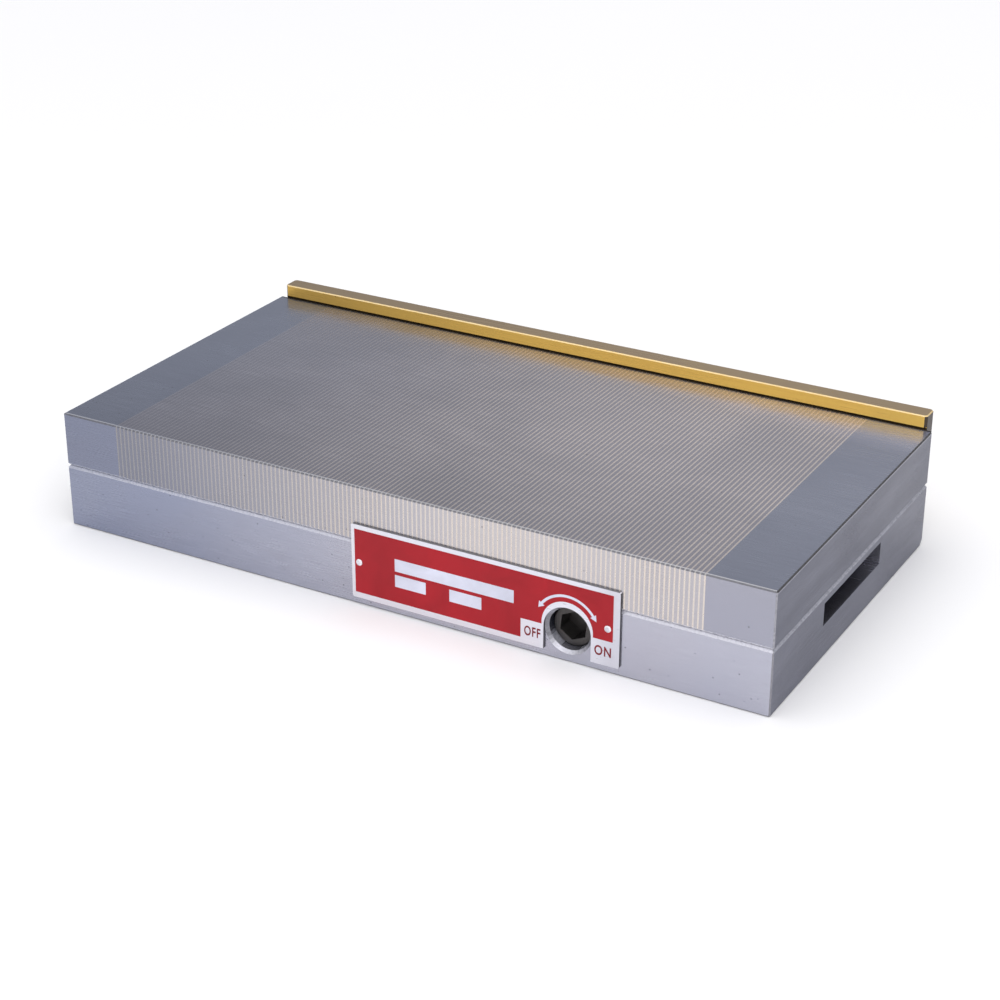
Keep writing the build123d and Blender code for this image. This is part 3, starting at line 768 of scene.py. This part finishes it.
class CHUCK_OT_stage(bpy.types.Operator):
    """Make the pale floor, the soft lights and the camera"""

    bl_idname = "chuck.stage"
    bl_label = "Stage, lights and camera"

    def execute(self, context):
        settings = context.scene.chuck_stage
        self.make_floor(settings)
        self.make_room(context, settings)
        self.make_lights()
        self.make_camera(context, settings)
        return {"FINISHED"}

    def make_floor(self, settings):
        """A large pale floor under the chuck."""
        reach = 6.0
        corners = [(x, y, 0.0) for x, y in rectangle(-reach, reach, -reach, reach)]
        shape = bpy.data.meshes.new("floor")
        shape.from_pydata(corners, [], [(0, 1, 2, 3)])
        colour = tuple(settings.floor_colour)
        material, tree, shader = new_material("Pale floor", colour, 0.9, 0.0)
        soft = noise(tree, object_coordinates(tree), 3.0, 3.0)
        tone = mixed(tree, soft, tinted(colour, 0.985), colour)
        feed(tree, shader.inputs["Base Color"], tone)
        shader.inputs["Specular IOR Level"].default_value = 0.1
        arrange(tree)
        floor = add_piece("floor", shape, material)

    def make_room(self, context, settings):
        """Even light from all round, shown without a filmic tone curve."""
        world = bpy.data.worlds.new("Studio room")
        context.scene.world = world
        world.use_nodes = True
        tree = world.node_tree
        direction = add_node(tree, "ShaderNodeTexCoord").outputs["Generated"]
        height = ramp(tree, split(tree, direction)["Z"], 0.5, 0.9)
        low, high = settings.horizon_light, settings.overhead_light
        colour = mixed(tree, height, (low, low, low * 1.02), (high, high, high * 1.01))
        feed(tree, tree.nodes["Background"].inputs["Color"], colour)
        arrange(tree)
        context.scene.view_settings.view_transform = "Standard"

    def make_lights(self):
        """Large soft lights: one low in front, one over the front edge and one behind."""
        lamps = [
            ("front_light", (0.40, -0.74, 0.46), (0.07, -0.10, 0.0), 0.95, 3.1, (1.0, 0.98, 1.0)),
            ("edge_light", (-0.55, -0.50, 0.95), (0.0, 0.0, 0.02), 0.7, 0.5, (0.97, 0.98, 1.0)),
            ("rear_light", (-0.22, 0.95, 0.52), (0.12, 0.0, 0.04), 0.5, 0.08, (1.0, 0.93, 0.88)),
        ]
        for name, place, target, size, power, colour in lamps:
            lamp = bpy.data.lights.new(name, "AREA")
            lamp.shape = "SQUARE"
            lamp.size = size
            lamp.energy = power
            lamp.color = colour
            holder = bpy.data.objects.new(name, lamp)
            holder.location = place
            aim = Vector(target) - Vector(place)
            holder.rotation_euler = aim.to_track_quat("-Z", "Y").to_euler()
            bpy.context.scene.collection.objects.link(holder)

    def make_camera(self, context, settings):
        """Camera at the photograph's angle."""
        data = bpy.data.cameras.new("camera")
        data.sensor_width = 36.0
        data.lens = settings.lens
        data.shift_x = settings.shift
        data.clip_end = 50.0
        camera = bpy.data.objects.new("camera", data)
        turn = (Matrix.Rotation(settings.azimuth, 4, "Z")
                @ Matrix.Rotation(pi / 2 - settings.elevation, 4, "X")
                @ Matrix.Rotation(settings.roll, 4, "Z"))
        back = turn.to_3x3() @ Vector((0.0, 0.0, settings.distance))
        camera.matrix_world = Matrix.Translation(Vector(settings.aim) + back) @ turn
        context.scene.collection.objects.link(camera)
        context.scene.camera = camera


class CHUCK_OT_steel_body(bpy.types.Operator):
    """Finish the housing, the end blocks and the steel strips as ground steel"""

    bl_idname = "chuck.steel_body"
    bl_label = "Ground steel body"

    def execute(self, context):
        steel = context.scene.chuck_steel
        # Painted shade that darkens the end faces and tints them blue
        ends = on_ends(steel.end_shade, (0.0, 0.004, 0.045))
        dress("base_housing", self.housing_metal(steel, ends))
        block = self.block_metal(steel, ends)
        dress("left_end_block", block)
        dress("right_end_block", block)
        dress("steel_strips", self.strip_metal(steel))
        return {"FINISHED"}

    def housing_metal(self, steel, ends):
        """Ground housing with painted shade on its foot edges, corners and end edges and in its
        clamping slots, and painted highlight on its other broken edges.
        """
        foot_edges = [(0.0, -SLANT, -SLANT), (0.0, SLANT, -SLANT),
                      (SLANT, 0.0, -SLANT), (-SLANT, 0.0, -SLANT)]
        end_edges = [(SLANT, 0.0, SLANT), (-SLANT, 0.0, SLANT)]
        clamping_slots = {
            "Middle": (0.1435, -0.002, 0.018), "Half size": (0.006, 0.028, 0.005),
            "Fade start": 0.006, "Fade end": 0.026,
        }
        return ground_metal(
            "Ground housing steel", tuple(steel.housing_colour), steel.roughness, LENGTHWISE,
            scratches=steel.wear, left_shade=steel.left_shade, smears=0.30, contrast=0.34, shades=[ends],
            edge_colour=(0.56, 0.56, 0.62), edge_matte=0.6, recess=clamping_slots,
            # Painted shade on the foot edges, the upright corners and the top end edges
            lines=[*(Shade(edge, 0.85, (0.10, 0.10, 0.12)) for edge in foot_edges),
                   *corner_lines((0.17, 0.17, 0.19)),
                   *(Shade(edge, 0.7, (0.40, 0.41, 0.47)) for edge in end_edges)])

    def block_metal(self, steel, ends):
        """Ground end blocks, smoother than the housing."""
        # Painted shade: the work face darker and bluer than the front
        top = Shade(UP, steel.top_shade, (0.34, 0.395, 0.54))
        return ground_metal(
            "Ground block steel", tuple(steel.block_colour), steel.roughness, LENGTHWISE,
            scratches=steel.wear * 0.4, pits=0.05, relief=0.025, left_shade=steel.left_shade, top_left_shade=0.35,
            smears=0.30, contrast=0.24, shades=[ends, top], edge_colour=EDGE_HIGHLIGHT,
            edge_matte=0.75, lines=[*table_lines(CHAMFER_SHADE), *corner_lines((0.20, 0.20, 0.23))])

    def strip_metal(self, steel):
        """Ground steel strips, whose front has painted shade towards the left and a painted
        highlight towards the right.
        """
        # Painted shade: the work face darker and bluer than the front
        top = Shade(UP, steel.top_shade, (0.385, 0.39, 0.50))
        # Painted shade towards the left of the front, and a painted highlight right of the middle
        left_front_shade = fading(FRONT, 0.28, (0.10, 0.10, 0.12), LEFT, 0.0, LEFT_REACH)
        right_front_highlight = Shade(FRONT, 0.35, (0.66, 0.62, 0.60),
                            (RIGHT, 5.0 * MM, 105.0 * MM, 35.0 * MM))
        return ground_metal(
            "Ground strip steel", tuple(steel.strip_colour), steel.roughness, LENGTHWISE,
            scratches=steel.wear * 0.25, pits=0.03, left_shade=steel.left_shade, top_left_shade=0.5,
            shades=[top, left_front_shade, right_front_highlight], lines=table_lines(CHAMFER_SHADE),
            edge_colour=EDGE_HIGHLIGHT, edge_matte=0.75)


class CHUCK_OT_brass(bpy.types.Operator):
    """Finish the brass strips and the stop rail"""

    bl_idname = "chuck.brass"
    bl_label = "Brass strips and stop rail"

    def execute(self, context):
        brass = context.scene.chuck_brass
        dress("brass_strips", self.strip_metal(brass, context.scene.chuck_steel.top_shade))
        dress("stop_rail", self.rail_metal(brass))
        return {"FINISHED"}

    def strip_metal(self, brass, top_shade):
        """Ground brass strips, toned like the steel ones beside them, with painted light on the
        work face and painted shade towards the left end.
        """
        return ground_metal(
            "Ground brass", tuple(brass.strip_colour), 0.32, LENGTHWISE,
            # The edge colour is a painted highlight on the brass strips' broken edges
            scratches=0.08, pits=0.0, left_shade=1.0, edge_colour=(0.84, 0.82, 0.84), edge_matte=0.75,
            # Painted light: the brass work face lighter and greyer than its front
            shades=[Shade(UP, top_shade, (0.84, 0.78, 0.79)),
                    # Painted shade towards the left end, on the work face and on the front
                    fading(UP, 0.4, (0.50, 0.49, 0.56), LEFT, 20.0 * MM, LEFT_REACH),
                    fading(FRONT, 0.32, (0.12, 0.11, 0.12), LEFT, 0.0, LEFT_REACH)],
            lines=table_lines((0.26, 0.25, 0.25)))

    def rail_metal(self, brass):
        """Gold-coloured rail with a darker brown top, dark ends, painted shade on the left of its
        front, on its back, under it and at its foot, and a painted highlight on its edges.
        """
        foot = (UP, -FAR, TABLE_HIGH.z + 0.6 * MM, FINE)
        front_corners = [(-SLANT, -SLANT, 0.0), (SLANT, -SLANT, 0.0)]
        return ground_metal(
            "Gold rail", tuple(brass.rail_colour), 0.34, RAIL_GRAIN, metallic=0.35,
            edge_matte=0.0, scratches=0.3, pits=0.08, relief=0.2, left_shade=0.25,
            # The edge colour is a painted highlight along the rail's broken edges
            edge_colour=(0.85, 0.66, 0.36), specular=0.1,
            shades=[Shade(UP, 0.88, (0.225, 0.187, 0.155)),
                    # Painted shade towards the left of the front and on the back face
                    fading(FRONT, 0.3, (0.25, 0.12, 0.03), LEFT, 50.0 * MM, 80.0 * MM),
                    Shade(BACK, 0.5, (0.36, 0.23, 0.11)),
                    on_ends(0.97, (0.035, 0.032, 0.038))],
            lines=[*(Shade(corner, 0.95, (0.03, 0.027, 0.03)) for corner in front_corners),
                   # Painted shade at the foot of the front, where it meets the table, and under the
                   # rail
                   Shade(FRONT, 0.95, PAINTED_SHADE, foot),
                   Shade(DOWN, 0.95, PAINTED_SHADE)])


class CHUCK_OT_nameplate(bpy.types.Operator):
    """Make the nameplate's enamel, blank fields, arrow, words and rivets"""

    bl_idname = "chuck.nameplate"
    bl_label = "Nameplate"

    def execute(self, context):
        plate = context.scene.chuck_plate
        metal = ground_metal(
            "Satin aluminium", (0.76, 0.75, 0.80), 0.38, PLATE_GRAIN,
            metallic=0.5, scratches=0.4, pits=0.05,
            # Painted shade on the plate's side and top edges, and towards its right end
            lines=[on_ends(0.96, (0.02, 0.02, 0.025)),
                   Shade(UP, 0.8, (0.16, 0.16, 0.17)),
                   fading(FRONT, 0.22, (0.25, 0.25, 0.30), RIGHT, PLATE_HIGH.x - 12.0 * MM,
                          8.0 * MM)])
        dress("nameplate", metal)
        shaft_middle = (SHAFT_LOW + SHAFT_HIGH) / 2
        bore = (shaft_middle.x, shaft_middle.z + 1.5 * MM)
        face = PLATE_LOW.y
        depth = plate.enamel_height
        red = enamel("Red enamel", tuple(plate.enamel_colour), 0.38)
        white = enamel("Pale field enamel", tuple(plate.field_colour), 0.45)
        dark = enamel("Dark red letters", tuple(plate.letter_colour), 0.4)
        fields = self.write_in_fields()
        flat_piece("enamel_field", [self.enamel_outline(bore), *fields], depth, face, red)
        flat_piece("write_in_fields", fields, depth * 0.7, face, white)
        flat_piece("turn_arrow", [self.arrow_outline(bore)], depth * 1.3, face, white)
        for name, word, place in (("word_off", "OFF", 75.65), ("word_on", "ON", 103.6)):
            centre = (PLATE_LOW.x + place * MM, PLATE_LOW.z + 5.5 * MM)
            write_word(name, word, centre, plate.word_width, plate.letter_size, depth, face, dark)
        self.make_rivets(metal)
        return {"FINISHED"}

    def write_in_fields(self):
        """Blank fields, placed from the plate's lower left corner in millimetres."""
        sides = [(18.6, 68.1, 15.0, 20.1), (18.6, 31.7, 8.7, 13.6), (41.6, 54.9, 8.7, 13.6)]
        return [
            rectangle(PLATE_LOW.x + left * MM, PLATE_LOW.x + right * MM,
                      PLATE_LOW.z + bottom * MM, PLATE_LOW.z + top * MM)
            for left, right, bottom, top in sides
        ]

    def enamel_outline(self, bore):
        """Outline of the red field, which steps round the words and the bore's rim."""
        left = PLATE_LOW.x + 1.4 * MM
        right = PLATE_HIGH.x - 2.6 * MM
        top = PLATE_HIGH.z - 1.8 * MM
        bottom = PLATE_LOW.z + 2.3 * MM
        step = PLATE_LOW.z + 9.9 * MM
        word_left = PLATE_LOW.x + 70.9 * MM
        rim = 10.2 * MM
        dip = atan2(step - bore[1], -(rim ** 2 - (step - bore[1]) ** 2) ** 0.5) % (2 * pi)
        outline = [(left, bottom), (word_left, bottom), (word_left, step)]
        outline += arc(bore, rim, dip, pi - dip, 28)
        return outline + [(right, step), (right, top), (left, top)]

    def arrow_outline(self, bore):
        """Arc with a head at each end, round the bore."""
        radius, half = 12.5 * MM, 0.5 * MM
        reach, spread = 2.3 * MM, 1.35 * MM
        first, last = radians(144.0), radians(36.0)
        outer = arc(bore, radius + half, first, last, 24)
        inner = arc(bore, radius - half, last, first, 24)
        heads = []
        for angle, turn in ((last, -1.0), (first, 1.0)):
            away = (cos(angle), sin(angle))
            base = (bore[0] + radius * away[0], bore[1] + radius * away[1])
            wide = [
                (base[0] + away[0] * side * spread, base[1] + away[1] * side * spread)
                for side in (1.0, -1.0)
            ]
            tip = (base[0] - away[1] * turn * reach, base[1] + away[0] * turn * reach)
            heads.append((wide[0], tip, wide[1]))
        return outer + list(heads[0]) + inner + list(reversed(heads[1]))

    def make_rivets(self, metal):
        """Domed rivet heads that replace the plain ones."""
        radius = (RIVET_HIGH.z - RIVET_LOW.z) / 2
        height = PLATE_LOW.y - RIVET_LOW.y
        middle = (RIVET_LOW.z + RIVET_HIGH.z) / 2
        rings = [(1.0, 0.0), (0.97, 0.28), (0.86, 0.56), (0.66, 0.80), (0.40, 0.95), (0.14, 1.0)]
        count = 32
        points, faces = [], []
        for centre in (RIVET_LOW.x + radius, RIVET_HIGH.x - radius):
            base = len(points)
            for share, rise in rings:
                for step in range(count):
                    angle = 2 * pi * step / count
                    points.append((centre + radius * share * cos(angle),
                                   PLATE_LOW.y - height * rise,
                                   middle + radius * share * sin(angle)))
            for row in range(len(rings) - 1):
                lower, upper = base + row * count, base + (row + 1) * count
                for step in range(count):
                    following = (step + 1) % count
                    faces.append((lower + step, lower + following, upper + following, upper + step))
            faces.append([base + (len(rings) - 1) * count + step for step in range(count)])
        shape = bpy.data.meshes.new("rivet_heads")
        shape.from_pydata(points, [], faces)
        shape.shade_smooth()
        piece = add_piece("rivet_heads", shape, metal)
        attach(piece, "housing")
        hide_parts("nameplate_rivets")


class CHUCK_OT_drive(bpy.types.Operator):
    """Finish the drive shaft, its bearing, the sliding block, the guide keys and the seals"""

    bl_idname = "chuck.drive"
    bl_label = "Drive shaft and bearing"

    def execute(self, context):
        bronze = turned_metal("Turned bronze", tuple(context.scene.chuck_brass.bronze_colour), 0.38)
        dress("drive_shaft", turned_metal("Blackened shaft steel", (0.085, 0.081, 0.079), 0.42))
        for node in ("shaft_bushing", "drive_block", "guide_keys"):
            dress(node, bronze)
        rubber = matte_rubber("Seal rubber", (0.018, 0.018, 0.018))
        for node in ("shaft_seal", "cover_seal"):
            dress(node, rubber)
        return {"FINISHED"}


class CHUCK_OT_magnets(bpy.types.Operator):
    """Finish both magnet layers and their frames"""

    bl_idname = "chuck.magnets"
    bl_label = "Magnet layers"

    def execute(self, context):
        frame_metal = ground_metal("Milled aluminium", (0.66, 0.67, 0.69), 0.36, FRAME_GRAIN,
                                   scratches=0.2, pits=0.0)
        magnet = ground_metal("Plated magnet", (0.30, 0.29, 0.27), 0.45, CROSSWISE, pits=0.4)
        pole = ground_metal("Ground pole steel", (0.45, 0.45, 0.47), 0.36, CROSSWISE, pits=0.02)
        for layer in ("carriage", "fixed"):
            dress(layer + "_frame", frame_metal)
            dress(layer + "_magnets", magnet)
            dress(layer + "_pole_bars", pole)
        return {"FINISHED"}


class CHUCK_OT_fasteners(bpy.types.Operator):
    """Finish the screws, washers and locating pins"""

    bl_idname = "chuck.fasteners"
    bl_label = "Screws, washers and pins"

    def execute(self, context):
        black = turned_metal("Black oxide screw", (0.045, 0.045, 0.05), 0.4, metallic=0.7)
        for node in ("plate_screws", "rail_screws", "limit_screw"):
            dress(node, black)
        dress("rail_washers", turned_metal("Zinc plated washer", (0.55, 0.56, 0.58), 0.3))
        dress("locating_pins", turned_metal("Ground pin steel", (0.5, 0.5, 0.52), 0.22))
        return {"FINISHED"}


class CHUCK_PT_finish(bpy.types.Panel):
    """Lists the chuck's operators in the sidebar"""

    bl_idname = "CHUCK_PT_finish"
    bl_label = "Magnetic chuck finish"
    bl_space_type = "VIEW_3D"
    bl_region_type = "UI"
    bl_category = "Chuck"

    def draw(self, context):
        for operator in OPERATORS:
            self.layout.operator(operator.bl_idname)


SETTINGS = {
    "chuck_stage": StageSettings,
    "chuck_steel": SteelSettings,
    "chuck_brass": BrassSettings,
    "chuck_plate": PlateSettings,
}
OPERATORS = (
    CHUCK_OT_stage,
    CHUCK_OT_steel_body,
    CHUCK_OT_brass,
    CHUCK_OT_nameplate,
    CHUCK_OT_drive,
    CHUCK_OT_magnets,
    CHUCK_OT_fasteners,
)


def register():
    """Register the settings, the operators and the panel."""
    for name, group in SETTINGS.items():
        bpy.utils.register_class(group)
        setattr(bpy.types.Scene, name, bpy.props.PointerProperty(type=group))
    for operator in OPERATORS:
        bpy.utils.register_class(operator)
    bpy.utils.register_class(CHUCK_PT_finish)


def unregister():
    """Take everything off again, in reverse order."""
    bpy.utils.unregister_class(CHUCK_PT_finish)
    for operator in reversed(OPERATORS):
        bpy.utils.unregister_class(operator)
    for name, group in reversed(SETTINGS.items()):
        delattr(bpy.types.Scene, name)
        bpy.utils.unregister_class(group)


def main():
    """Dress the chuck."""
    register()
    bpy.ops.chuck.stage()
    bpy.ops.chuck.steel_body()
    bpy.ops.chuck.brass()
    bpy.ops.chuck.nameplate()
    bpy.ops.chuck.drive()
    bpy.ops.chuck.magnets()
    bpy.ops.chuck.fasteners()


if __name__ == "__main__":
    main()
